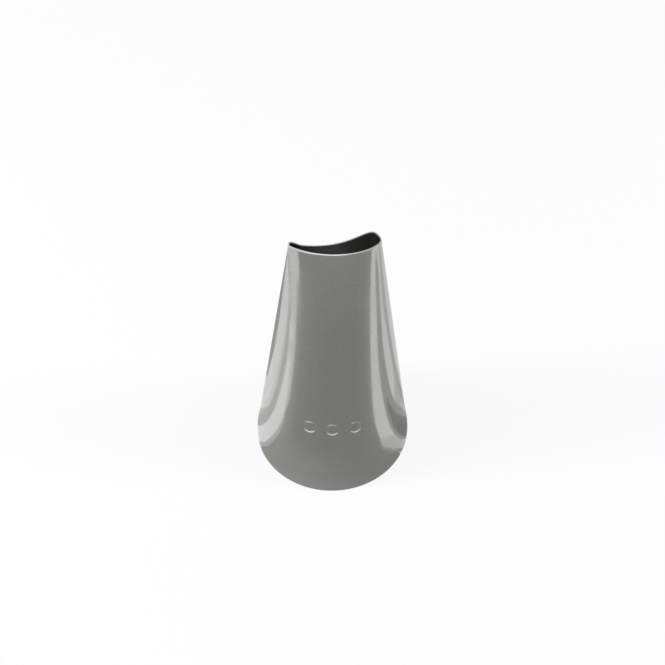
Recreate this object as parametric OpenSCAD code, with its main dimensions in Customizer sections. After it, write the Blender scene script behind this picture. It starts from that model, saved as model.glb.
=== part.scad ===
// Curved petal piping nozzle, pressed in one piece from thin sheet steel.
// The round base stands on z = 0 with its centre at the origin, and the
// mouth opens at the top. +X points to the wide end of the mouth and -Y to
// the side that the mouth bows out to.

/* [Base] */
// Outside diameter of the round base, which seats in a bag or a coupler ring
base_d = 25.4; // [20:0.1:34]
// Height of the straight band round the base
band_h = 0.8; // [0.5:0.1:3]
// How far the band stands proud of the wall above it, inside and outside
band_proud = 0.03; // [0.03:0.01:0.3]

/* [Body] */
// Height from the base to the mouth
height = 45.7; // [30:0.1:70]
// Thickness of the sheet at the base
sheet_t = 0.3; // [0.25:0.05:0.6]
// Thickness of the sheet at the mouth, where drawing has thinned it
mouth_t = 0.2; // [0.15:0.05:0.6]
// Height over which the wall curves in from upright to its straight slope
foot_h = 4; // [2:0.5:15]
// How long the front and back stay full before they flatten, 1 for an even slope
fullness = 1; // [1:0.05:1.5]

/* [Mouth] */
// Length of the front edge, straight from end to end, before its ends are rounded
front_edge_w = 13.5; // [9:0.1:18]
// How far the middle of the front edge bows out in front of its ends
front_bow = 1.9; // [0.5:0.1:3.5]
// Height of the opening at its wide end, before the end is rounded
wide_gap = 3.4; // [2:0.1:5]
// Height of the opening at its narrow end
narrow_gap = 0.55; // [0.4:0.05:1.5]
// How far the front edge sits off the axis, towards its wide end
mouth_shift = 1.35; // [-2:0.1:3]
// How far the ends of the front edge sit in front of the axis
mouth_ahead = 0.75; // [-1:0.05:2]
// How blunt the ends of the opening are, 2 for an ellipse
end_bluntness = 3.4; // [2:0.1:4]

/* [Smoothness] */
// Points round each ring of the wall
ring_points = 96; // [80:4:128]
// Steps up the wall
wall_steps = 20; // [10:1:30]

/* [Hidden] */

steel = [0.62, 0.62, 0.60];
turn = 360;
quarter_turn = 90;

base_r = base_d / 2;
band_t = sheet_t + 2 * band_proud;

// The wall grows out of the middle of the band
foot_r = base_r - band_proud - sheet_t;
foot_z = band_h / 2;
wall_h = height - foot_z;

// The front edge of the opening is an arc, with its centre behind it
front_r = (pow(front_edge_w / 2, 2) + pow(front_bow, 2)) / (2 * front_bow);
front_angle = asin(front_edge_w / 2 / front_r);
front_centre_y = front_r * cos(front_angle) - mouth_ahead;

// Points that the outline of the opening is measured on
outline_points = 480;

// Part of a turn over which a wall's direction is measured
direction_step = 0.002;

// Share of the straight slope that the wall leans at the top of the foot
foot_share = foot_h / wall_h;

function mix(a, b, share) = a + (b - a) * share;
function blunt(v) = sign(v) * pow(abs(v), 2 / end_bluntness);
function whole(share) = share - floor(share);

// Height of the opening at a place from -1, the narrow end, to 1, the wide end
function gap_at(place) = mix(narrow_gap, wide_gap, (place + 1) / 2);

// Inside edge of the opening: 90 is the front middle and 0 is the wide end
function opening_point(angle) =
    let (
        place = blunt(cos(angle)),
        r = front_r - gap_at(place) * (1 - blunt(sin(angle))) / 2,
        a = place * front_angle
    )
    [mouth_shift + r * sin(a), front_centre_y - r * cos(a)];

// Outline of the opening, from the front middle round by the wide end
outline = [for (k = [0 : outline_points])
    opening_point(quarter_turn - turn * k / outline_points)];

// How far round the outline each of its points lies, as a share of the whole
function run_of(k) = norm(outline[k + 1] - outline[k]);
outline_run = [for (k = 0, run = 0; k <= outline_points;
    run = run + (k < outline_points ? run_of(k) : 0), k = k + 1) run];
outline_share = outline_run / outline_run[outline_points];
outline_x = [for (k = [0 : outline_points]) [outline_share[k], outline[k].x]];
outline_y = [for (k = [0 : outline_points]) [outline_share[k], outline[k].y]];

// The middle of the front wall runs to the middle of the front edge
wide_end_share = outline_share[outline_points / 4];
narrow_end_share = outline_share[outline_points * 3 / 4] - 1;
front_share = (wide_end_share + narrow_end_share) / 2;

function opening_at(share) =
    let (s = whole(share + front_share))
    [lookup(s, outline_x), lookup(s, outline_y)];
function foot_at(share) = foot_r * [sin(turn * share), -cos(turn * share)];

// How far the wall has leaned in, from 0 at its foot to 1 at the mouth
function lean_at(up) =
    let (t = min(up / foot_share, 1))
    up < foot_share ? foot_share * t * t * (2 - t) : up;

// Inside of the wall at a share of the way round and of the way up
function inside_at(share, up) =
    let (f = foot_at(share), m = opening_at(share), lean = lean_at(up))
    [mix(f.x, m.x, lean), mix(f.y, m.y, pow(lean, fullness))];

// Outside of the wall: one sheet's thickness out, level with the inside
function outside_at(share, up) =
    let (
        ahead = inside_at(share + direction_step, up),
        behind = inside_at(share - direction_step, up),
        along = (ahead - behind) / norm(ahead - behind)
    )
    inside_at(share, up) + mix(sheet_t, mouth_t, up) * [along.y, -along.x];

// Shares of a turn at which the wall has points: they lie closer together
// the more the edge of the opening turns
function direction_at(share) =
    let (d = opening_at(share + direction_step) - opening_at(share - direction_step))
    atan2(d.y, d.x);
function turning(from, to) =
    let (d = abs(direction_at(to) - direction_at(from)))
    min(d, turn - d);
crowd_steps = 400;
crowd = [for (k = 0, sum = 0; k <= crowd_steps;
    sum = sum + 1 / crowd_steps
        + turning(k / crowd_steps, (k + 1) / crowd_steps) / turn,
    k = k + 1) [sum, k / crowd_steps]];
shares = [for (i = [0 : ring_points - 1])
    lookup(crowd[crowd_steps][0] * i / ring_points, crowd)];

function lift(p, up) = [p.x, p.y, foot_z + up * wall_h];

// Triangles of a strip between two rings of points
function strip(from, other, inward) = [
    for (i = [0 : ring_points - 1])
        let (
            j = (i + 1) % ring_points,
            a = from + i, b = from + j, c = other + j, d = other + i
        )
        each inward ? [[a, b, c], [a, c, d]] : [[a, c, b], [a, d, c]]
];

module base_band() {
    rotate_extrude($fn = ring_points)
        translate([base_r - band_t, 0])
            square([band_t, band_h]);
}

module tapered_wall() {
    outer = [for (k = [0 : wall_steps], s = shares)
        lift(outside_at(s, k / wall_steps), k / wall_steps)];
    inner = [for (k = [0 : wall_steps], s = shares)
        lift(inside_at(s, k / wall_steps), k / wall_steps)];
    inner_start = len(outer);
    top = wall_steps * ring_points;
    outer_wall = [for (k = [0 : wall_steps - 1])
        each strip(k * ring_points, (k + 1) * ring_points, false)];
    inner_wall = [for (k = [0 : wall_steps - 1])
        each strip(inner_start + k * ring_points,
            inner_start + (k + 1) * ring_points, true)];
    lower_edge = strip(0, inner_start, true);
    mouth_edge = strip(top, inner_start + top, false);
    polyhedron(concat(outer, inner),
        concat(outer_wall, inner_wall, lower_edge, mouth_edge), convexity = 6);
}

module nozzle_shell() {
    color(steel) {
        base_band();
        tapered_wall();
    }
}

nozzle_shell();
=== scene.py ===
"""A curved petal piping nozzle in satin sheet steel, with its stage.

Lengths are in metres. The round base stands on z = 0 with its centre at the
origin, the mouth opens at the top, +X points to the mouth's wide end and -Y
to the side that it bows out to.
"""

import math

import bpy
import numpy as np
from bpy.props import FloatProperty, FloatVectorProperty, IntProperty, PointerProperty
from mathutils import Euler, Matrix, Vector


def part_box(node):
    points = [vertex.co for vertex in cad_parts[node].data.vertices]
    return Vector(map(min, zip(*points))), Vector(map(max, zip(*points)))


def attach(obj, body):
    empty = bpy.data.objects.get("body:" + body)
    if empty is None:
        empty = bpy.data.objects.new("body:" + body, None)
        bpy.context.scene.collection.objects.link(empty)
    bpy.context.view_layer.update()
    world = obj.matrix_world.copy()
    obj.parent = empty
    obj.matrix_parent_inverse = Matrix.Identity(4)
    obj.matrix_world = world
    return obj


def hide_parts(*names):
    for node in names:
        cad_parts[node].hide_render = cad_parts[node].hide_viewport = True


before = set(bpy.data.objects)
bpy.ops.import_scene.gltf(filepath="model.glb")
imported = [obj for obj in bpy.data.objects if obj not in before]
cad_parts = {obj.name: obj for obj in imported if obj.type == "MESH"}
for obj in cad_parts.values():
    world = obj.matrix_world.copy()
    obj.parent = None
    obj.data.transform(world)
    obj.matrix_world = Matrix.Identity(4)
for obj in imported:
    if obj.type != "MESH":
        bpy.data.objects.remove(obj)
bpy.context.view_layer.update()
SHELL_LOW, SHELL_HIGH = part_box("nozzle_shell")

bl_info = {
    "name": "Petal piping nozzle",
    "version": (1, 0, 0),
    "blender": (4, 5, 0),
    "location": "3D View > Sidebar > Nozzle",
    "description": "Models a curved petal piping nozzle and its stage",
    "category": "Add Mesh",
}

MM = 0.001
TURN = 2 * math.pi
WHITE = (1, 1, 1, 1)

# Colour sockets of a mix node, which share their names with its number sockets
MIX_A = 6
MIX_B = 7
MIX_RESULT = 2


# Points that the mouth's outline is worked out on
OUTLINE_POINTS = 960

# Steps between the wall's rows: up the foot, to the marks, across them and on to the mouth
FOOT_STEPS = 12
LOWER_STEPS = 5
MARK_STEPS = 28
UPPER_STEPS = 30

# The close rows reach this many diameters of a mark above and below the marks' middle
MARK_MARGIN = 0.7

# The last row but one lies this many sheets under the mouth, so that the wall shades
# evenly up to its cut edge
EDGE_ROW_DEPTH = 1.5

# Edges that are sharper than the first angle shade sharp. Only the cut edges are sharper
# than the second, and they alone are rounded
SHARP_ANGLE = math.radians(50)
CUT_ANGLE = math.radians(65)
ROUNDING_STEPS = 3

# Farther than any point of the nozzle is from another
FAR_OFF = 1


# How fine the steel's patterns are, as scales of noise over metres
DRAWING_SCALE = 5200
GRAIN_SCALE = 4200
HAZE_SCALE = 160

# The drawing marks' pattern is stretched upright by this scale along Z
DRAWING_STRETCH = 0.04

# How much the haze changes the roughness and the grain the tone, and between which values
# of their noise
HAZE_CHANGE = 0.04
HAZE_SPREAD = (0.3, 0.7)
GRAIN_CHANGE = 0.07
GRAIN_SPREAD = (0.25, 0.75)

# How deep the grain and the drawing marks lie
RELIEF_DEPTH = 0.01 * MM

# The cut edge's painted highlight: its tone between a place in front and one behind, bright in
# front, and its painted shade between two places at the right
HIGHLIGHT_PLACES = (-2.4 * MM, -1 * MM)
HIGHLIGHT_TONES = (1.2, 0.7)
RIGHT_SHADE_PLACES = (2 * MM, 3.5 * MM)
RIGHT_SHADE_TONES = (1, 0.62)


# Glowing cards that lie on the floor, seen only in the steel, where they paint reflections of
# shade and light: name, brightness and outline in millimetres. Each lies a little higher than
# the one before it
CARD_STEP = 0.03 * MM
REFLECTION_TINT = (1, 1, 0.985, 1)
PAINTED_REFLECTIONS = (
    (
        "right_field",
        0.78,
        [(8, 0), (9, 12), (14, 26), (30, 38), (60, 44), (150, 46), (150, -80), (8, -30)],
    ),
    (
        "left_field",
        0.78,
        [(-25, -9.5), (-35, -12.5), (-41, -14), (-43.5, -11), (-45, -9), (-47.5, -10)]
        + [(-48.5, -18.5), (-51, -17), (-52, -11), (-56, -13)]
        + [(-66, -17), (-70, -60), (-56, -50), (-30, -20)],
    ),
    (
        "left_back_field",
        0.92,
        [(-11, 2), (-12, 12), (-18, 13), (-26, 15), (-35, 16), (-45, 14), (-51, 10), (-55, 3)]
        + [(-53, -3.4), (-30, 1)],
    ),
    (
        "left_back_edge",
        0.82,
        [(-11, 5), (-12, 12), (-16, 14), (-20, 13), (-22.5, 10), (-21, 7.5), (-16, 6)],
    ),
    (
        "left_light_strip",
        0.84,
        [(-12, 6.5), (-17, 6), (-22, 4), (-30, 3), (-40, 1.5), (-46, -0.5), (-53, -3.4)]
        + [(-62, -7), (-62, -14), (-40, -3), (-20, 0), (-12, 1)],
    ),
    (
        "left_strip",
        0.61,
        [(-11, 2.6), (-20, 2.2), (-30, 0.5), (-40, -1.2), (-45, -3.2), (-51, -5.2)]
        + [(-57, -9), (-62, -12), (-62, -16), (-56, -13.5), (-51, -10), (-45, -9.3)]
        + [(-40, -8.3), (-33, -5.2), (-28, -3.2), (-24, -2.2), (-20, -0.9), (-12.7, 0.8)],
    ),
    (
        "left_foot_top",
        0.64,
        [(-11.5, 4.7), (-14.6, 4.3), (-17, 3.7), (-19.5, 2.7), (-19, 1.6), (-16.4, 1.8)]
        + [(-14.2, 2.6), (-11.5, 2.8)],
    ),
    (
        "left_foot",
        0.55,
        [(-11.5, 3.4), (-14.2, 3.2), (-15.8, 2.6), (-16, 1.6), (-14.8, 0.9), (-12.3, 0.9)],
    ),
    (
        "left_edge",
        0.62,
        [(-11.5, -2.3), (-13, -2.9), (-15, -3.8), (-18, -5.4), (-21, -7.3), (-25, -10)]
        + [(-24.5, -10.8), (-22, -9.7), (-20, -8.5), (-18, -7.1), (-15.5, -5.5)]
        + [(-13.5, -4.3), (-11.5, -3.8)],
    ),
    (
        "left_back_strip",
        0.43,
        [(-15, 11.5), (-20, 19), (-28, 26), (-38, 30), (-48, 28), (-56, 20), (-61, 8)]
        + [(-61, 0), (-57.9, -3), (-55.7, 2.5), (-52.6, 6.8), (-48.8, 10), (-45, 11.9)]
        + [(-35, 13.8), (-30, 12.9), (-24, 12.3), (-18, 10.8)],
    ),
    (
        "right_back_strip",
        0.58,
        [(11, 2), (14, 6.5), (17, 9.3), (25, 10), (40, 10.3), (60, 9), (69, 5), (69, -6)]
        + [(60, -4.5), (50, -1), (40, 3.2), (30, 5), (25.5, 3.2), (22.5, 0), (18, -0.5), (14, 0)],
    ),
    (
        "right_back_line",
        0.45,
        [(13, 3.5), (15.5, 7), (25, 7.8), (35, 8.8), (45, 6.8), (58, 2), (45, 5), (35, 7)]
        + [(25, 6.4), (19, 4.8), (15.5, 4.2)],
    ),
    (
        "right_foot",
        0.63,
        [(12.2, -3.4), (14.5, -3.9), (15.6, -4.8), (16.4, -7), (16.7, -9.5), (16.3, -11.6)]
        + [(15.3, -11.6), (14.3, -10.2), (13.8, -8), (12.9, -6), (11.3, -4.6)],
    ),
    (
        "right_rim",
        0.41,
        [(11.3, -4.6), (12.9, -6), (13.8, -8), (14.3, -10.5), (15.2, -13), (13.5, -10)]
        + [(13, -8.2), (12.3, -6.8), (11, -5.4)],
    ),
    (
        "right_strip",
        0.43,
        [(9, -1), (12.9, 2.6), (16, 2.6), (19, 1.2), (23, -0.9), (27, -2.2), (31, -3.4)]
        + [(35, -4.7), (40, -6.6), (50, -8.4), (58, -10.6), (65, -14), (66, -27), (60, -23)]
        + [(54, -19.5), (50, -18.2), (41, -16.4), (37, -14.8), (32, -12.4), (27, -10.2)]
        + [(22, -8), (18, -6.3), (13.1, -3.7)],
    ),
    (
        "right_wedge",
        0.3,
        [(9, -1), (12.8, 1.8), (14.5, 1.2), (17.5, -0.3), (20, -2.2), (23, -4), (26, -6.2)]
        + [(24, -7), (20, -5.4), (17, -4.7), (13.1, -3)],
    ),
    (
        "right_dark_foot",
        0.26,
        [(12.4, 1.2), (14.4, 0.6), (16, -0.6), (16.8, -2.2), (16.2, -3.5), (14.8, -3.3)]
        + [(12.8, -2.4)],
    ),
)

# The large glowing card in front paints the steel's dark reflection of shade, darkest in the
# middle. Its step lies between two others, and its brightness goes by the angle from straight
# ahead, in degrees
FRONT_STEP = 2.5
FRONT_REFLECTION_TINT = (1, 0.99, 0.935, 1)
FRONT_TONES = ((-64, 0.45), (-60, 0.42), (-56, 0.385), (-50, 0.35), (-40, 0.332))
FRONT_TONES += ((-25, 0.315), (-8, 0.3), (28, 0.297), (42, 0.322), (50, 0.365), (58, 0.41))
FRONT_OUTLINE = [(0, -8), (-12.6, -2.8), (-15, -4), (-20, -6.5), (-25, -10), (-30, -14)]
FRONT_OUTLINE += [(-40, -19), (-48, -22.3), (-53, -24.5), (-58, -26.8), (-60.8, -31), (-61.5, -37)]
FRONT_OUTLINE += [(-66, -45), (-110, -400), (150, -400), (150, -88), (70, -45.5), (50, -33.8)]
FRONT_OUTLINE += [(35.5, -26), (25.4, -19.8), (21, -16.4), (18.4, -13.7), (14.9, -9.9), (12.8, -6)]
FRONT_OUTLINE += [(8, -6)]

# The front card gets lighter by this much between two distances from the nozzle
FRONT_FAR = (70 * MM, 110 * MM)
FRONT_FAR_GAIN = 0.05

# Nearer than the first of these distances its tone goes by the place across instead, and
# it changes over by the second
FRONT_NEAR = (14 * MM, 26 * MM)
FRONT_NEAR_PLACES = (-8 * MM, 8 * MM)
FRONT_NEAR_TONES = (0.43, 0.31)

# A small pale glowing card is held up 30 mm at the left, where its painted reflection carries
# the left panel up to the mouth
HELD_STEP = 1000
HELD_TONE = 0.8
HELD_OUTLINE = [(-17.6, -8.8), (-17.8, -10.5), (-19.2, -12), (-20.3, -13.3), (-21.2, -14.7)]
HELD_OUTLINE += [(-22, -16.6), (-23.5, -16.8), (-23.5, -9), (-21, -8.6)]

# The floor lies a little under the rim and turns all white between two distances
FLOOR_WIDTH = 6
FLOOR_DROP = 0.02 * MM
FLOOR_WHITE = (0.15, 0.6)

# The shade inside the nozzle lies a little over the floor
SHADE_HEIGHT = 0.5 * MM
SHADE_POINTS = 96

# Place of each lamp to the side, ahead and up, and its width
LAMP_SIDE = 0.33
LAMP_AHEAD = 0.03
LAMP_UP = 0.23
LAMP_WIDTH = 0.12

# The camera stands where the photo's perspective puts it. Its turn is in degrees, and its
# lens and sensor are in millimetres
CAMERA_PLACE = (0, -0.11841, 0.17005)
CAMERA_TURN = (39.2725, 0.9652, -1.3958)
CAMERA_LENS = 65.845
CAMERA_SENSOR = 36
CAMERA_REACH = (0.01, 20)


# Sizes and colours


class NozzleSizes(bpy.types.PropertyGroup):
    """Sizes of the nozzle's shell"""

    base_diameter: FloatProperty(
        name="Base diameter",
        description="Outside diameter of the round base",
        default=SHELL_HIGH.x - SHELL_LOW.x,
        unit="LENGTH",
    )
    height: FloatProperty(
        name="Height",
        description="Height from the base to the mouth",
        default=SHELL_HIGH.z,
        unit="LENGTH",
    )
    sheet: FloatProperty(
        name="Sheet",
        description="Thickness of the steel sheet at the base",
        default=0.3 * MM,
        unit="LENGTH",
    )
    mouth_sheet: FloatProperty(
        name="Sheet at the mouth",
        description="Thickness of the steel sheet at the mouth, thinned by drawing",
        default=0.2 * MM,
        unit="LENGTH",
    )
    band: FloatProperty(
        name="Band",
        description="Height of the upright band round the base",
        default=0.4 * MM,
        unit="LENGTH",
    )
    foot_height: FloatProperty(
        name="Foot height",
        description="Height over which the wall curves in from upright",
        default=4 * MM,
        unit="LENGTH",
    )
    front_edge: FloatProperty(
        name="Front edge",
        description="Length of the mouth's front edge, straight from end to end",
        default=13.5 * MM,
        unit="LENGTH",
    )
    front_bow: FloatProperty(
        name="Front bow",
        description="How far the middle of the front edge bows out",
        default=1.9 * MM,
        unit="LENGTH",
    )
    wide_gap: FloatProperty(
        name="Wide gap",
        description="Height of the opening at its wide end",
        default=3.4 * MM,
        unit="LENGTH",
    )
    narrow_gap: FloatProperty(
        name="Narrow gap",
        description="Height of the opening at its narrow end",
        default=0.55 * MM,
        unit="LENGTH",
    )
    mouth_shift: FloatProperty(
        name="Mouth shift",
        description="How far the front edge sits off the axis, to its wide end",
        default=1.35 * MM,
        unit="LENGTH",
    )
    mouth_ahead: FloatProperty(
        name="Mouth ahead",
        description="How far the ends of the front edge sit in front of the axis",
        default=0.75 * MM,
        unit="LENGTH",
    )
    end_bluntness: FloatProperty(
        name="End bluntness",
        description="How blunt the opening's ends are, 2 for an ellipse",
        default=3.4,
    )
    fold_lift: FloatProperty(
        name="Fold lift",
        description="How far the back of the tight fold at the mouth's narrow end springs up",
        default=0.35 * MM,
        unit="LENGTH",
    )
    fold_reach: FloatProperty(
        name="Fold reach",
        description="How far from the narrow end the fold's lift reaches",
        default=1.5 * MM,
        unit="LENGTH",
    )
    edge_round: FloatProperty(
        name="Edge round",
        description="Width of the rounding on the sheet's cut edges",
        default=0.05 * MM,
        unit="LENGTH",
    )
    ring_points: IntProperty(
        name="Ring points",
        description="Points round each ring of the wall",
        default=480,
    )


class PressedMarks(bpy.types.PropertyGroup):
    """Row of small rings that is pressed into the front wall"""

    count: IntProperty(name="Count", description="Marks in the row", default=3)
    height: FloatProperty(
        name="Height",
        description="Height of the row above the base",
        default=13.3 * MM,
        unit="LENGTH",
    )
    pitch: FloatProperty(
        name="Pitch",
        description="Distance between the marks",
        default=3.5 * MM,
        unit="LENGTH",
    )
    diameter: FloatProperty(
        name="Diameter",
        description="Outside diameter of each ring",
        default=2.5 * MM,
        unit="LENGTH",
    )
    line: FloatProperty(
        name="Line",
        description="Width of each ring's outer slope, from its edge to its deepest line",
        default=0.3 * MM,
        unit="LENGTH",
    )
    depth: FloatProperty(
        name="Depth",
        description="Depth of the punch, of which the ring keeps about two thirds",
        default=0.2 * MM,
        unit="LENGTH",
    )


class SteelFinish(bpy.types.PropertyGroup):
    """Satin finish of the pressed sheet steel"""

    colour: FloatVectorProperty(
        name="Colour",
        description="Colour of the satin wall",
        default=(0.59, 0.59, 0.585),
        subtype="COLOR",
        size=3,
    )
    # The inside's colour is darker than the outside's, as painted shade in the hollow
    shaded_inside_colour: FloatVectorProperty(
        name="Inside colour",
        description="Colour of the unpolished inside",
        default=(0.45, 0.45, 0.44),
        subtype="COLOR",
        size=3,
    )
    cut_colour: FloatVectorProperty(
        name="Cut edge colour",
        description="Colour of the bright cut edges at the mouth and the base",
        default=(0.7, 0.7, 0.695),
        subtype="COLOR",
        size=3,
    )
    roughness: FloatProperty(
        name="Roughness",
        description="Roughness of the satin wall",
        default=0.13,
        subtype="FACTOR",
    )
    inside_roughness: FloatProperty(
        name="Inside roughness",
        description="Roughness of the unpolished inside",
        default=0.3,
        subtype="FACTOR",
    )
    cut_roughness: FloatProperty(
        name="Cut edge roughness",
        description="Roughness of the cut edges",
        default=0.25,
        subtype="FACTOR",
    )
    anisotropy: FloatProperty(
        name="Anisotropy",
        description="How much reflections stretch across the drawing marks",
        default=0.2,
        subtype="FACTOR",
    )
    relief: FloatProperty(
        name="Relief",
        description="Strength of the fine grain and drawing marks",
        default=0.12,
        subtype="FACTOR",
    )


class StageLook(bpy.types.PropertyGroup):
    """Floor, shade, lamps and sky"""

    floor_colour: FloatVectorProperty(
        name="Floor colour",
        description="Colour of the floor",
        default=(0.97, 0.97, 0.97),
        subtype="COLOR",
        size=3,
    )
    floor_glow: FloatProperty(
        name="Floor glow",
        description="Share of the white near the nozzle that needs no lamp",
        default=0.84,
        subtype="FACTOR",
    )
    shade_colour: FloatVectorProperty(
        name="Shade colour",
        description="Colour of the shaded floor inside the nozzle",
        default=(0.08, 0.08, 0.08),
        subtype="COLOR",
        size=3,
    )
    shade_width: FloatProperty(
        name="Shade width",
        description="Diameter of the shaded floor inside the nozzle",
        default=24.4 * MM,
        unit="LENGTH",
    )
    left_lamp: FloatProperty(
        name="Left lamp",
        description="Power of the soft lamp on the left",
        default=0.9,
        unit="POWER",
    )
    right_lamp: FloatProperty(
        name="Right lamp",
        description="Power of the soft lamp on the right",
        default=0.5,
        unit="POWER",
    )
    sky: FloatProperty(
        name="Sky",
        description="Level of the light from all round",
        default=0.45,
    )


# Modelling helpers


def deselect_all():
    """Leaves object mode with nothing selected"""
    if bpy.context.mode != "OBJECT":
        bpy.ops.object.mode_set(mode="OBJECT")
    bpy.ops.object.select_all(action="DESELECT")


def named(name):
    """Names the new active object and its mesh"""
    piece = bpy.context.object
    piece.name = name
    piece.data.name = name
    return piece


def points_of(piece):
    """Places of a mesh's points as an array"""
    flat = np.zeros(len(piece.data.vertices) * 3)
    piece.data.vertices.foreach_get("co", flat)
    return flat.reshape(-1, 3)


def place_points(piece, places):
    """Moves a mesh's points to the given places"""
    piece.data.vertices.foreach_set("co", places.ravel())
    piece.data.update()


def select_points(piece, chosen):
    """Selects some of a mesh's points, and the edges and faces between them"""
    chosen = np.asarray(chosen)
    piece.data.vertices.foreach_set("select", chosen)
    ends = np.zeros(len(piece.data.edges) * 2, int)
    piece.data.edges.foreach_get("vertices", ends)
    piece.data.edges.foreach_set("select", chosen[ends.reshape(-1, 2)].all(1))
    for face in piece.data.polygons:
        face.select = all(chosen[i] for i in face.vertices)
    piece.data.update()


def apply_modifier(piece, kind, **settings):
    """Adds a modifier with these settings and applies it"""
    modifier = piece.modifiers.new(kind.title(), kind)
    for name, value in settings.items():
        setattr(modifier, name, value)
    bpy.ops.object.modifier_apply(modifier=modifier.name)


# Shape of the wall


def blunt(value, bluntness):
    """Turns a circle's sine or cosine into that of a blunter oval"""
    return np.sign(value) * np.abs(value) ** (2 / bluntness)


def opening_outline(sizes):
    """Inside outline of the mouth, from the front middle round by its wide end"""
    half = sizes.front_edge / 2
    radius = (half**2 + sizes.front_bow**2) / (2 * sizes.front_bow)
    reach = math.asin(half / radius)
    centre_y = radius * math.cos(reach) - sizes.mouth_ahead
    turn = TURN / 4 - np.linspace(0, TURN, OUTLINE_POINTS + 1)
    place = blunt(np.cos(turn), sizes.end_bluntness)
    gap = sizes.narrow_gap + (sizes.wide_gap - sizes.narrow_gap) * (place + 1) / 2
    inset = gap * (1 - blunt(np.sin(turn), sizes.end_bluntness)) / 2
    x = sizes.mouth_shift + (radius - inset) * np.sin(place * reach)
    y = centre_y - (radius - inset) * np.cos(place * reach)
    return x, y


def opening_at(sizes, share):
    """Points on the mouth's outline at shares of its length"""
    x, y = opening_outline(sizes)
    run = np.concatenate([[0], np.cumsum(np.hypot(np.diff(x), np.diff(y)))])
    run /= run[-1]

    # The front wall's middle runs to the middle of the front edge
    wide_end = run[OUTLINE_POINTS // 4]
    narrow_end = run[OUTLINE_POINTS * 3 // 4] - 1
    front = (wide_end + narrow_end) / 2
    at = (share + front) % 1
    return np.interp(at, run, x), np.interp(at, run, y)


def wall_lean(sizes, heights):
    """How far the wall has leaned in, from 0 at the band to 1 at the mouth"""
    sloped = sizes.height - sizes.band
    up = np.maximum(heights - sizes.band, 0) / sloped
    foot = sizes.foot_height / sloped
    rise = np.minimum(up / foot, 1)
    return np.where(up < foot, foot * rise**2 * (2 - rise), up)


def row_heights(sizes, marks):
    """Heights of the wall's rows: close together on the foot, at the marks and at the top"""
    foot_top = sizes.band + sizes.foot_height
    under_edge = sizes.height - EDGE_ROW_DEPTH * sizes.mouth_sheet
    low = marks.height - MARK_MARGIN * marks.diameter
    high = marks.height + MARK_MARGIN * marks.diameter
    return np.concatenate(
        [
            [0],
            np.linspace(sizes.band, foot_top, FOOT_STEPS, endpoint=False),
            np.linspace(foot_top, low, LOWER_STEPS, endpoint=False),
            np.linspace(low, high, MARK_STEPS, endpoint=False),
            np.linspace(high, under_edge, UPPER_STEPS, endpoint=False),
            [under_edge, sizes.height],
        ]
    )


# Nodes


def new_material(name):
    """An empty material with its node tree"""
    material = bpy.data.materials.new(name)
    material.use_nodes = True
    material.node_tree.nodes.clear()
    return material, material.node_tree


def add_node(tree, kind, label="", **settings):
    """Adds a node. Settings are its attributes"""
    node = tree.nodes.new(kind)
    node.label = label
    for name, value in settings.items():
        setattr(node, name, value)
    return node


def set_inputs(node, **values):
    """Sets a node's unlinked sockets by name, with _ for a space"""
    for name, value in values.items():
        node.inputs[name.replace("_", " ")].default_value = value


def colour4(colour):
    """A colour with full alpha"""
    return (*colour, 1)


def finish_material(tree, shader):
    """Gives a material its surface"""
    output = add_node(tree, "ShaderNodeOutputMaterial")
    tree.links.new(shader, output.inputs["Surface"])


def noise(tree, label, source, scale, detail, roughness):
    """A node with noise over these coordinates"""
    node = add_node(tree, "ShaderNodeTexNoise", label)
    set_inputs(node, Scale=scale, Detail=detail, Roughness=roughness)
    tree.links.new(source, node.inputs["Vector"])
    return node.outputs["Fac"]


def distance_out(tree, coordinates):
    """A node with the distance from the object's origin"""
    node = add_node(tree, "ShaderNodeVectorMath", "Distance", operation="LENGTH")
    tree.links.new(coordinates.outputs["Object"], node.inputs[0])
    return node.outputs["Value"]


def map_range(tree, label, source, places, values):
    """A node that turns a run of places into a run of values, and keeps them between its ends"""
    node = add_node(tree, "ShaderNodeMapRange", label)
    set_inputs(node, From_Min=places[0], From_Max=places[1], To_Min=values[0], To_Max=values[1])
    tree.links.new(source, node.inputs["Value"])
    return node.outputs["Result"]


def combine(tree, label, operation, first, second):
    """A node that joins two numbers by this operation"""
    node = add_node(tree, "ShaderNodeMath", label, operation=operation)
    tree.links.new(first, node.inputs[0])
    tree.links.new(second, node.inputs[1])
    return node.outputs["Value"]


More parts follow.
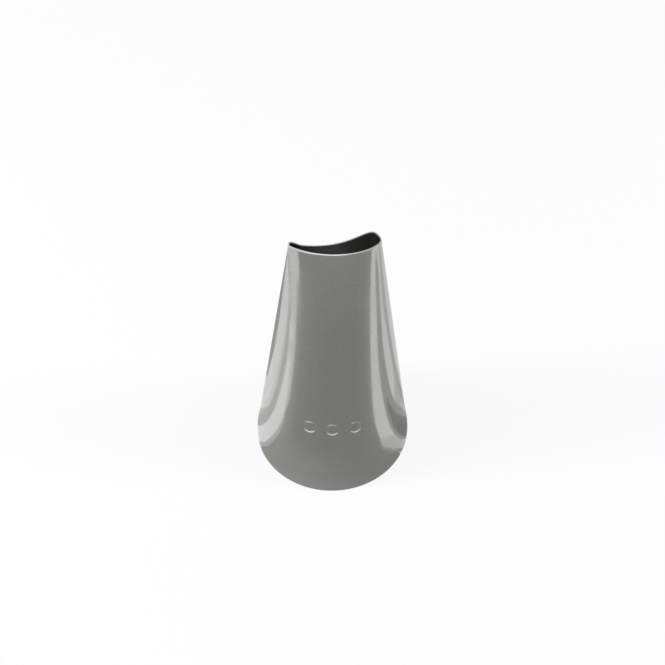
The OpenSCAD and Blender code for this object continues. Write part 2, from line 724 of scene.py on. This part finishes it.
def steel_material(name, colour, roughness, anisotropy, relief_strength, painted_highlight=False):
    """Sheet steel with fine upright drawing marks, tumbled grain and a faint haze"""
    material, tree = new_material(name)
    link = tree.links.new
    coordinates = add_node(tree, "ShaderNodeTexCoord")
    place = coordinates.outputs["Object"]

    stretch = add_node(tree, "ShaderNodeMapping", "Along the drawing")
    set_inputs(stretch, Scale=(1, 1, DRAWING_STRETCH))
    link(place, stretch.inputs["Vector"])
    marks = noise(tree, "Drawing marks", stretch.outputs["Vector"], DRAWING_SCALE, 3, 0.6)
    grain = noise(tree, "Tumbled grain", place, GRAIN_SCALE, 2, 0.55)
    haze = noise(tree, "Handling haze", place, HAZE_SCALE, 3, 0.5)

    dull_range = (roughness - HAZE_CHANGE, roughness + HAZE_CHANGE)
    dullness = map_range(tree, "Roughness from haze", haze, HAZE_SPREAD, dull_range)
    tone_range = (1 - GRAIN_CHANGE, 1 + GRAIN_CHANGE)
    tone = map_range(tree, "Tone from grain", grain, GRAIN_SPREAD, tone_range)
    # On the cut edges the tone also carries a painted highlight in front and painted shade behind
    # and at the right
    if painted_highlight:
        tone = combine(tree, "Grain and rub", "MULTIPLY", tone, painted_highlight_tone(tree, coordinates))
    metal = add_node(tree, "ShaderNodeMix", "Metal colour", data_type="RGBA", blend_type="MULTIPLY")
    metal.inputs["Factor"].default_value = 1
    metal.inputs[MIX_A].default_value = colour4(colour)
    link(tone, metal.inputs[MIX_B])

    relief = combine(tree, "Grain and marks", "ADD", marks, grain)
    bump = add_node(tree, "ShaderNodeBump", "Fine relief")
    set_inputs(bump, Strength=relief_strength, Distance=RELIEF_DEPTH)
    link(relief, bump.inputs["Height"])

    tangent = add_node(tree, "ShaderNodeTangent", direction_type="UV_MAP", uv_map="UVMap")
    steel = add_node(tree, "ShaderNodeBsdfPrincipled", "Steel")
    set_inputs(steel, Metallic=1, Anisotropic=anisotropy)
    link(metal.outputs[MIX_RESULT], steel.inputs["Base Color"])
    link(dullness, steel.inputs["Roughness"])
    link(bump.outputs["Normal"], steel.inputs["Normal"])
    link(tangent.outputs["Tangent"], steel.inputs["Tangent"])
    finish_material(tree, steel.outputs["BSDF"])
    return material


def painted_highlight_tone(tree, coordinates):
    """A cut edge's painted highlight and shade: bright in front, darker behind and at the right"""
    parts = add_node(tree, "ShaderNodeSeparateXYZ")
    tree.links.new(coordinates.outputs["Object"], parts.inputs["Vector"])
    highlight = map_range(tree, "Highlighted in front", parts.outputs["Y"], HIGHLIGHT_PLACES, HIGHLIGHT_TONES)
    # Painted shade makes the edge darker at the right
    side = map_range(tree, "Darker at the right", parts.outputs["X"], RIGHT_SHADE_PLACES, RIGHT_SHADE_TONES)
    return combine(tree, "Highlight and side", "MULTIPLY", highlight, side)


def painted_light_material(name, label, colour, strength=1):
    """A plain surface that glows evenly, with painted light or shade where no lamp lights it"""
    material, tree = new_material(name)
    glow = add_node(tree, "ShaderNodeEmission", label)
    set_inputs(glow, Color=colour, Strength=strength)
    finish_material(tree, glow.outputs["Emission"])
    return material


def painted_reflection_material(name, tone):
    """A plain glowing card, a painted reflection in the steel"""
    return painted_light_material(name, "Even light", REFLECTION_TINT, tone)


def front_painted_reflection_material():
    """A glowing card whose painted reflection of shade is darkest in the middle and a little lighter
    far away
    """
    material, tree = new_material("front_reflection_card")
    link = tree.links.new
    coordinates = add_node(tree, "ShaderNodeTexCoord")
    parts = add_node(tree, "ShaderNodeSeparateXYZ")
    link(coordinates.outputs["Object"], parts.inputs["Vector"])
    ahead = add_node(tree, "ShaderNodeMath", "Ahead", operation="MULTIPLY")
    ahead.inputs[1].default_value = -1
    link(parts.outputs["Y"], ahead.inputs[0])
    across = parts.outputs["X"]
    angle = combine(tree, "Angle from ahead", "ARCTAN2", across, ahead.outputs["Value"])
    first, last = (math.radians(FRONT_TONES[i][0]) for i in (0, -1))
    place = map_range(tree, "Place across", angle, (first, last), (0, 1))
    tones = add_node(tree, "ShaderNodeValToRGB", "Tone across")
    stops = tones.color_ramp.elements
    for _ in FRONT_TONES[2:]:
        stops.new(0.5)
    for stop, (degrees, tone) in zip(stops, FRONT_TONES):
        stop.position = (math.radians(degrees) - first) / (last - first)
        stop.color = colour4((tone, tone, tone))
    link(place, tones.inputs["Fac"])
    distance = distance_out(tree, coordinates)
    far = map_range(tree, "Lighter far away", distance, FRONT_FAR, (0, FRONT_FAR_GAIN))
    near = map_range(tree, "Near the foot", distance, FRONT_NEAR, (1, 0))
    foot = map_range(tree, "Tone at the foot", across, FRONT_NEAR_PLACES, FRONT_NEAR_TONES)
    blend = add_node(tree, "ShaderNodeMix", "Foot or beyond", data_type="FLOAT")
    link(near, blend.inputs["Factor"])
    link(tones.outputs["Color"], blend.inputs["A"])
    link(foot, blend.inputs["B"])
    level = combine(tree, "Tone", "ADD", blend.outputs["Result"], far)
    glow = add_node(tree, "ShaderNodeEmission", "Even light")
    set_inputs(glow, Color=FRONT_REFLECTION_TINT)
    link(level, glow.inputs["Strength"])
    finish_material(tree, glow.outputs["Emission"])
    return material


def seen_by_camera_or_mirror(tree):
    """1 for camera, glossy and transmission rays, 0 for the rest"""
    rays = add_node(tree, "ShaderNodeLightPath").outputs
    seen = combine(tree, "Camera or mirror", "MAXIMUM", rays["Is Camera Ray"], rays["Is Glossy Ray"])
    return combine(tree, "Or through", "MAXIMUM", seen, rays["Is Transmission Ray"])


# Operators


class NOZZLE_OT_add_shell(bpy.types.Operator):
    """Models the nozzle's shell from one sheet of steel"""

    bl_idname = "nozzle.add_shell"
    bl_label = "Nozzle shell"

    def execute(self, context):
        scene = context.scene
        sizes = scene.nozzle_sizes
        marks = scene.nozzle_marks
        shell = self.draw_wall(sizes, marks)
        self.add_finishes(shell, scene.nozzle_steel)
        self.lift_fold(shell, sizes)
        self.press_marks(shell, marks)
        self.thicken(shell, sizes)
        deselect_all()
        shell.select_set(True)
        bpy.ops.object.shade_smooth_by_angle(angle=SHARP_ANGLE)
        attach(shell, "root")
        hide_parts("nozzle_shell")
        return {"FINISHED"}

    def draw_wall(self, sizes, marks):
        """An open tube, drawn in from the round base to the flat mouth"""
        deselect_all()
        inside = sizes.base_diameter / 2 - sizes.sheet
        bpy.ops.mesh.primitive_cylinder_add(
            vertices=sizes.ring_points,
            radius=inside,
            depth=sizes.height,
            end_fill_type="NOTHING",
            location=(0, 0, sizes.height / 2),
        )
        shell = named("nozzle_shell_steel")
        bpy.ops.object.transform_apply(location=True, rotation=False, scale=False)

        # The tube's upright edges are cut into the wall's rows
        heights = row_heights(sizes, marks)
        bpy.ops.object.mode_set(mode="EDIT")
        bpy.ops.mesh.select_mode(type="EDGE")
        bpy.ops.mesh.select_all(action="DESELECT")
        bpy.ops.object.mode_set(mode="OBJECT")
        places = points_of(shell)
        for edge in shell.data.edges:
            low, high = (places[i][2] for i in edge.vertices)
            edge.select = bool(abs(high - low) > sizes.height / 2)
        bpy.ops.object.mode_set(mode="EDIT")
        bpy.ops.mesh.subdivide_edgering(number_cuts=len(heights) - 2, interpolation="LINEAR")
        bpy.ops.mesh.select_mode(type="VERT")
        bpy.ops.object.mode_set(mode="OBJECT")

        # Each point leans in from the foot's circle towards its place on the mouth
        places = points_of(shell)
        share = np.arctan2(places[:, 0], -places[:, 1]) / TURN % 1
        row = places[:, 2] / sizes.height * (len(heights) - 1)
        height = np.interp(row, np.arange(len(heights)), heights)
        lean = wall_lean(sizes, height)
        mouth_x, mouth_y = opening_at(sizes, share)
        foot_x = inside * np.sin(share * TURN)
        foot_y = -inside * np.cos(share * TURN)
        x = foot_x + (mouth_x - foot_x) * lean
        y = foot_y + (mouth_y - foot_y) * lean
        place_points(shell, np.stack([x, y, height], 1))
        return shell

    def add_finishes(self, shell, finish):
        """Slots for the satin outside, the rougher inside, darker as painted shade, and the cut
        edges, which carry a painted highlight
        """
        for name, colour, roughness, painted_highlight in (
            ("satin_steel", finish.colour, finish.roughness, False),
            ("shaded_inside_steel", finish.shaded_inside_colour, finish.inside_roughness, False),
            ("cut_steel", finish.cut_colour, finish.cut_roughness, True),
        ):
            shell.data.materials.append(
                steel_material(name, colour, roughness, finish.anisotropy, finish.relief, painted_highlight)
            )

    def lift_fold(self, shell, sizes):
        """Lifts the back of the tight fold at the mouth's narrow end, with the front hidden"""
        places = points_of(shell)
        x, y = opening_outline(sizes)

        # The opening's middle line runs half way between its back and front edges, from the
        # middle of the mouth to its narrow end
        middle = OUTLINE_POINTS // 2
        end = OUTLINE_POINTS * 3 // 4
        line_x = (x[middle : end + 1] + x[: end - 1 : -1]) / 2
        line_y = (y[middle : end + 1] + y[: end - 1 : -1]) / 2
        in_front = places[:, 1] < np.interp(places[:, 0], line_x[::-1], line_y[::-1])
        select_points(shell, in_front)
        bpy.ops.object.mode_set(mode="EDIT")
        bpy.ops.mesh.hide(unselected=False)
        bpy.ops.object.mode_set(mode="OBJECT")
        off = np.abs(places[:, 0] - x[end] - sizes.narrow_gap / 2)
        off[in_front] = FAR_OFF
        off[places[:, 2] < sizes.height - sizes.edge_round] = FAR_OFF
        self.pull(shell, int(np.argmin(off)), (0, sizes.fold_lift, 0), sizes.fold_reach, "SMOOTH")
        bpy.ops.object.mode_set(mode="EDIT")
        bpy.ops.mesh.reveal(select=False)
        bpy.ops.object.mode_set(mode="OBJECT")

    def pull(self, shell, point, move, reach, falloff):
        """Moves a point of the wall, and those within reach of it by their distance"""
        select_points(shell, np.arange(len(shell.data.vertices)) == point)
        bpy.ops.object.mode_set(mode="EDIT")
        bpy.ops.transform.translate(
            value=move,
            use_proportional_edit=True,
            proportional_edit_falloff=falloff,
            proportional_size=reach,
        )
        bpy.ops.object.mode_set(mode="OBJECT")

    def press_marks(self, shell, marks):
        """Presses rings: a round punch goes in, and a narrower one pushes its middle back"""
        inner = marks.diameter - 2 * marks.line
        for k in range(marks.count):
            across = (k - (marks.count - 1) / 2) * marks.pitch
            places = points_of(shell)
            off = np.hypot(places[:, 0] - across, places[:, 2] - marks.height)
            off[places[:, 1] > 0] = FAR_OFF
            nearest = int(np.argmin(off))
            inward = -shell.data.vertices[nearest].normal.copy()
            self.pull(shell, nearest, inward * marks.depth, marks.diameter / 2, "SPHERE")
            self.pull(shell, nearest, inward * -marks.depth, inner / 2, "SPHERE")

    def thicken(self, shell, sizes):
        """Gives the wall the sheet's thickness, with cut and rounded edges"""
        thinned = shell.vertex_groups.new(name="thickness")
        for point in shell.data.vertices:
            up = point.co.z / sizes.height
            share = 1 + (sizes.mouth_sheet / sizes.sheet - 1) * up
            thinned.add([point.index], share, "REPLACE")
        apply_modifier(
            shell,
            "SOLIDIFY",
            vertex_group=thinned.name,
            thickness=sizes.sheet,
            offset=1,
            use_even_offset=True,
            material_offset=1,
            material_offset_rim=2,
        )

        # The sheet is cut level at the mouth and at the base
        places = points_of(shell)
        up = places[:, 2]
        up[up > sizes.height - sizes.mouth_sheet] = sizes.height
        up[up < sizes.sheet] = 0
        place_points(shell, places)
        apply_modifier(
            shell,
            "BEVEL",
            width=sizes.edge_round,
            segments=ROUNDING_STEPS,
            limit_method="ANGLE",
            angle_limit=CUT_ANGLE,
        )


class NOZZLE_OT_add_stage(bpy.types.Operator):
    """Adds the floor, the glowing cards of painted reflection, the disc of painted shade, the lamps,
    the sky and the camera
    """

    bl_idname = "nozzle.add_stage"
    bl_label = "Stage"

    def execute(self, context):
        look = context.scene.nozzle_stage
        self.add_floor(look)
        self.add_painted_reflections()
        self.add_shade(look)
        self.add_lamps(look)
        self.add_sky(context.scene, look)
        self.add_camera(context.scene)
        context.scene.view_settings.view_transform = "Standard"
        return {"FINISHED"}

    def add_floor(self, look):
        """A wide pale floor"""
        deselect_all()
        bpy.ops.mesh.primitive_plane_add(size=FLOOR_WIDTH, location=(0, 0, -FLOOR_DROP))
        floor = named("floor")
        material, tree = new_material("pale_floor")
        surface = add_node(tree, "ShaderNodeBsdfDiffuse")
        set_inputs(surface, Color=colour4(look.floor_colour))
        glow = add_node(tree, "ShaderNodeEmission", "Background white")
        set_inputs(glow, Color=WHITE)
        link = tree.links.new
        link(seen_by_camera_or_mirror(tree), glow.inputs["Strength"])
        distance = distance_out(tree, add_node(tree, "ShaderNodeTexCoord"))
        share = map_range(tree, "All white far away", distance, FLOOR_WHITE, (look.floor_glow, 1))
        blend = add_node(tree, "ShaderNodeMixShader")
        link(share, blend.inputs["Fac"])
        link(surface.outputs["BSDF"], blend.inputs[1])
        link(glow.outputs["Emission"], blend.inputs[2])
        finish_material(tree, blend.outputs["Shader"])
        floor.data.materials.append(material)

    def add_painted_reflections(self):
        """Glowing cards round the nozzle, seen only in the steel, whose painted reflections give it
        its dark panels
        """
        self.add_painted_reflection("front_reflection_card", FRONT_STEP, FRONT_OUTLINE, front_painted_reflection_material())
        for step, (name, tone, outline) in enumerate(PAINTED_REFLECTIONS, 1):
            self.add_painted_reflection(name, step, outline, painted_reflection_material(name, tone))
        held = painted_reflection_material("held_reflection_card", HELD_TONE)
        self.add_painted_reflection("held_reflection_card", HELD_STEP, HELD_OUTLINE, held)

    def add_painted_reflection(self, name, step, outline, material):
        """One flat glowing card of painted reflection with this outline, so many steps above the
        floor
        """
        deselect_all()
        bpy.ops.mesh.primitive_circle_add(vertices=len(outline), fill_type="NGON")
        card = named(name)
        places = [(x * MM, y * MM, step * CARD_STEP) for x, y in outline]
        place_points(card, np.array(places))
        card.data.materials.append(material)
        # Only glossy rays see the card, so that it is a painted reflection and lights nothing
        card.visible_camera = False
        card.visible_diffuse = False
        card.visible_shadow = False
        card.visible_transmission = False

    def add_shade(self, look):
        """A dark disc on the floor inside the nozzle, where little light comes in. It glows evenly
        at the shade's level, as painted shade
        """
        deselect_all()
        bpy.ops.mesh.primitive_circle_add(
            vertices=SHADE_POINTS,
            radius=look.shade_width / 2,
            fill_type="NGON",
            location=(0, 0, SHADE_HEIGHT),
        )
        shade = named("inside_shade")
        colour = colour4(look.shade_colour)
        # The disc's glow is painted shade, not light from a lamp
        shade.data.materials.append(painted_light_material("inside_shade", "Scattered light", colour))

    def add_lamps(self, look):
        """A soft lamp on each side, the left one stronger"""
        for name, side, power in (("left", -1, look.left_lamp), ("right", 1, look.right_lamp)):
            deselect_all()
            place = (side * LAMP_SIDE, -LAMP_AHEAD, LAMP_UP)
            bpy.ops.object.light_add(type="AREA", location=place)
            lamp = bpy.context.object
            lamp.name = name + "_lamp"
            lamp.data.name = name + "_lamp"
            lamp.rotation_euler = (0, side * math.atan2(LAMP_SIDE, LAMP_UP), 0)
            lamp.data.shape = "DISK"
            lamp.data.size = LAMP_WIDTH
            lamp.data.energy = power
            lamp.visible_glossy = False

    def add_sky(self, scene, look):
        """A white sky for the camera and the steel, and soft light for the rest"""
        world = bpy.data.worlds.new("studio")
        scene.world = world
        world.use_nodes = True
        tree = world.node_tree
        tree.nodes.clear()
        seen = seen_by_camera_or_mirror(tree)
        level = map_range(tree, "White where it is seen", seen, (0, 1), (look.sky, 1))
        sky = add_node(tree, "ShaderNodeBackground")
        set_inputs(sky, Color=WHITE)
        tree.links.new(level, sky.inputs["Strength"])
        output = add_node(tree, "ShaderNodeOutputWorld")
        tree.links.new(sky.outputs["Background"], output.inputs["Surface"])

    def add_camera(self, scene):
        """A camera in front, about 55 degrees up"""
        deselect_all()
        turned = Euler([math.radians(degrees) for degrees in CAMERA_TURN])
        bpy.ops.object.camera_add(location=CAMERA_PLACE, rotation=turned)
        camera = bpy.context.object
        camera.name = "camera"
        camera.data.lens = CAMERA_LENS
        camera.data.sensor_width = CAMERA_SENSOR
        camera.data.clip_start, camera.data.clip_end = CAMERA_REACH
        scene.camera = camera


class NOZZLE_PT_panel(bpy.types.Panel):
    """Sizes, finishes and steps of the nozzle"""

    bl_idname = "NOZZLE_PT_panel"
    bl_label = "Piping nozzle"
    bl_space_type = "VIEW_3D"
    bl_region_type = "UI"
    bl_category = "Nozzle"

    def draw(self, context):
        for group in GROUPS:
            settings = getattr(context.scene, group)
            box = self.layout.box()
            for name in settings.__annotations__:
                box.prop(settings, name)
        for operator in OPERATORS:
            self.layout.operator(operator.bl_idname)


GROUPS = {
    "nozzle_sizes": NozzleSizes,
    "nozzle_marks": PressedMarks,
    "nozzle_steel": SteelFinish,
    "nozzle_stage": StageLook,
}
OPERATORS = (NOZZLE_OT_add_shell, NOZZLE_OT_add_stage)


def register():
    for name, group in GROUPS.items():
        bpy.utils.register_class(group)
        setattr(bpy.types.Scene, name, PointerProperty(type=group))
    for operator in OPERATORS:
        bpy.utils.register_class(operator)
    bpy.utils.register_class(NOZZLE_PT_panel)


def unregister():
    bpy.utils.unregister_class(NOZZLE_PT_panel)
    for operator in reversed(OPERATORS):
        bpy.utils.unregister_class(operator)
    for name, group in reversed(GROUPS.items()):
        delattr(bpy.types.Scene, name)
        bpy.utils.unregister_class(group)


def main():
    """Models the nozzle and its stage"""
    register()
    bpy.ops.nozzle.add_shell()
    bpy.ops.nozzle.add_stage()


if __name__ == "__main__":
    main()
